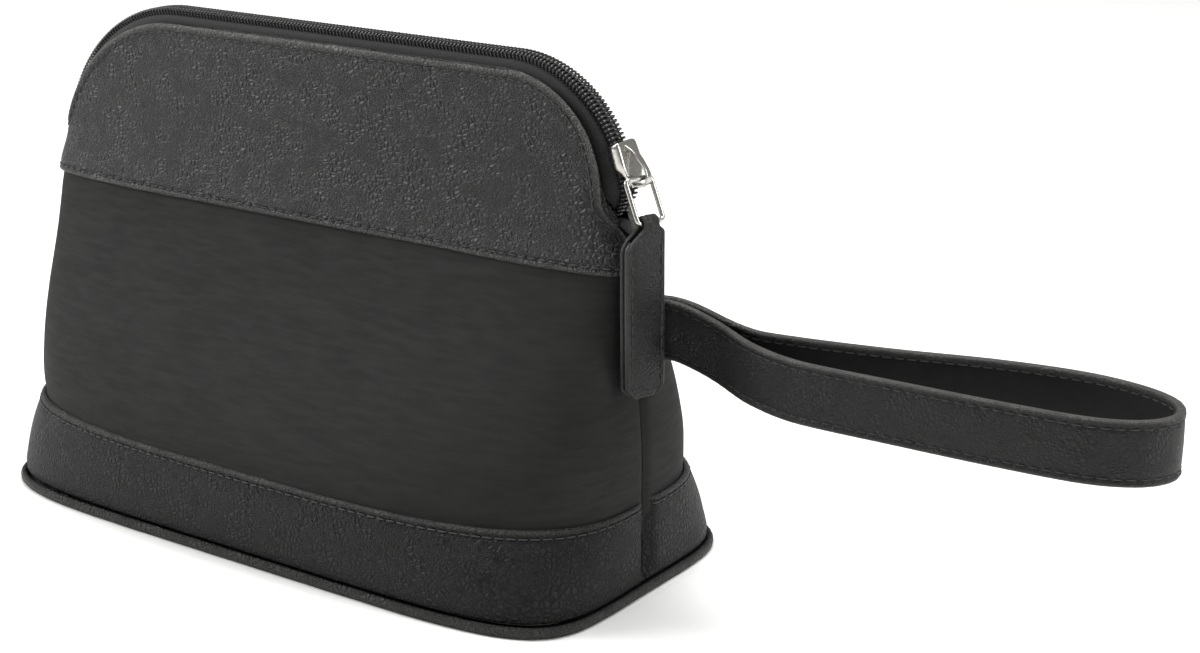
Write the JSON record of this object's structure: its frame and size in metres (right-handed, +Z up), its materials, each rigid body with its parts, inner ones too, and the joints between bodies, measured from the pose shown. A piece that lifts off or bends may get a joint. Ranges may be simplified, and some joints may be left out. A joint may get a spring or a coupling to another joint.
{
  "type": "makeup bag",
  "caption": "Zipped makeup bag of black leather: boxy foot, tapering to an arched zip mouth, with a leather zip pull and a wrist strap loop on one side seam.",
  "frame": {"origin": "centre of the foot, on the surface it stands on", "axes": "+X along the length to the side with the wrist strap, -Y out of the front wall, +Z up"},
  "size_m": [0.3712, 0.1046, 0.15],
  "materials": {
    "grain_leather": "pebbled black leather, soft sheen",
    "smooth_leather": "smooth matte black nappa with fine creases",
    "tab_leather": "grained black leather with turned edges",
    "strap_leather": "grained black leather with a stitched edge",
    "strap_back": "plain black leather backing",
    "lining": "woven black lining cloth",
    "binding": "black seam tape",
    "zip_tape": "herringbone woven black tape",
    "zip_coil": "shiny black nylon coil",
    "nickel": "polished nickel plating",
    "stiffener": "pressed board"
  },
  "bodies": {
    "bag": {"base_panel": "grain_leather", "base_welt": "grain_leather", "base_board": "stiffener", "base_lining": "lining", "front_foot_band": "grain_leather", "back_foot_band": "grain_leather", "front_middle_panel": "smooth_leather", "back_middle_panel": "smooth_leather", "front_top_band": "grain_leather", "back_top_band": "grain_leather", "front_lining": "lining", "back_lining": "lining", "left_seam_binding": "binding", "right_seam_binding": "binding", "left_zip_tape_end": "zip_tape", "right_zip_tape_end": "zip_tape", "left_coil_end": "zip_coil", "right_coil_end": "zip_coil", "left_zip_tab": "grain_leather", "right_zip_tab": "grain_leather"},
    "front_flap": {"front_top_band_mouth": "grain_leather", "front_mouth_lining": "lining", "front_zip_tape": "zip_tape", "front_zip_coil": "zip_coil"},
    "back_flap": {"back_top_band_mouth": "grain_leather", "back_mouth_lining": "lining", "back_zip_tape": "zip_tape", "back_zip_coil": "zip_coil"},
    "zip_slider": {"slider_body": "nickel", "slider_bridge": "nickel"},
    "link": {"pull_link": "nickel"},
    "tab": {"pull_tab_leather": "tab_leather", "pull_tab_core": "stiffener"},
    "wrist_strap": {"strap_outer": "strap_leather", "strap_lining": "strap_back"}
  },
  "joints": [
    {"name": "front_flap_open", "type": "hinge", "parent": "bag", "child": "front_flap", "pos_m": [0, -0.00827, 0.125], "axis": [1, 0, 0], "range_deg": [0, 60]},
    {"name": "back_flap_open", "type": "hinge", "parent": "bag", "child": "back_flap", "pos_m": [0, 0.00827, 0.125], "axis": [-1, 0, 0], "range_deg": [0, 60]},
    {"name": "slider_travel", "type": "hinge", "parent": "bag", "child": "zip_slider", "pos_m": [0.0665, 0, 0.1115], "axis": [0, 1, 0], "range_deg": [-67, 0]},
    {"name": "link_swing", "type": "hinge", "parent": "zip_slider", "child": "link", "pos_m": [0.10763, -0.00194, 0.11973], "axis": [-0.2419, -0.9703, 0], "range_deg": [0, 100]},
    {"name": "tab_swing", "type": "hinge", "parent": "link", "child": "tab", "pos_m": [0.11249, -0.00418, 0.10894], "axis": [-0.2419, -0.9703, 0], "range_deg": [0, 75]},
    {"name": "strap_swing", "type": "hinge", "parent": "bag", "child": "wrist_strap", "pos_m": [0.108, 0.00515, 0.0775], "axis": [0, 0, 1], "range_deg": [0, 60]}
  ]
}
